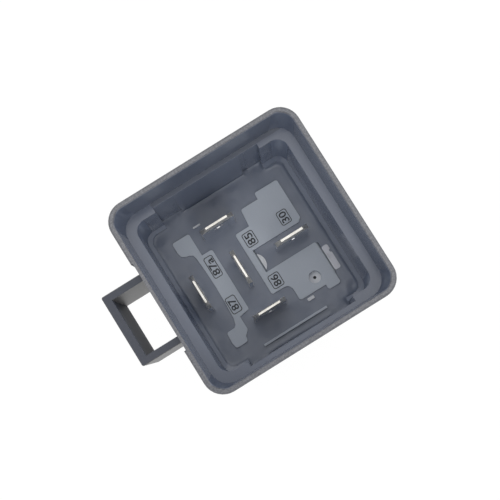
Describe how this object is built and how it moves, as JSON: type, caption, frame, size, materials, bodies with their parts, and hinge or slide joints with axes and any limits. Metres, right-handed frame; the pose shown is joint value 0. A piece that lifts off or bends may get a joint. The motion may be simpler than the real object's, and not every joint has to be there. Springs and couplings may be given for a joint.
{
  "type": "automotive relay",
  "caption": "Weatherproof changeover relay: square sealed cover with a deep connector skirt round five blade terminals and a moulded bracket sleeve on one side.",
  "frame": {"origin": "centre of the cover's closed flat face, which the relay stands on", "axes": "+Z from the closed face towards the open skirt, +X towards terminal 30, so the bracket sleeve lies at -X"},
  "size_m": [0.0412, 0.0344, 0.0512],
  "materials": {
    "case_plastic": "fine moulded texture, dark slate grey",
    "base_plastic": "smooth glass-filled plastic, mid grey",
    "resin": "cast epoxy, satin, with a slight meniscus",
    "tinned_metal": "bright tin plate",
    "contact_silver": "silver alloy",
    "spring_bronze": "rolled copper alloy",
    "plated_iron": "nickel plated soft iron",
    "rivet_metal": "plated rivets",
    "bobbin_plastic": "natural moulded plastic",
    "enamelled_wire": "enamelled copper wire"
  },
  "bodies": {
    "housing": {"case": "case_plastic", "base_plate": "base_plastic", "sealing_resin": "resin", "terminal_30": "tinned_metal", "terminal_85": "tinned_metal", "terminal_86": "tinned_metal", "terminal_87": "tinned_metal", "terminal_87a": "tinned_metal", "no_contact": "contact_silver", "nc_contact": "contact_silver", "yoke": "plated_iron", "yoke_rivets": "rivet_metal", "core": "plated_iron", "bobbin": "bobbin_plastic", "coil_winding": "enamelled_wire", "coil_lead_85": "enamelled_wire", "coil_lead_86": "enamelled_wire"},
    "armature_unit": {"armature": "plated_iron", "armature_rivets": "rivet_metal", "contact_spring": "spring_bronze", "moving_contact": "contact_silver"}
  },
  "joints": [
    {"name": "armature_pull_in", "type": "hinge", "parent": "housing", "child": "armature_unit", "pos_m": [0.01235, 0, 0.00599], "axis": [0, 1, 0], "range_deg": [0, 2.5], "stiffness_Nm_per_rad": 0.03, "springref_deg": -6.88, "deforming": ["contact_spring"]}
  ]
}
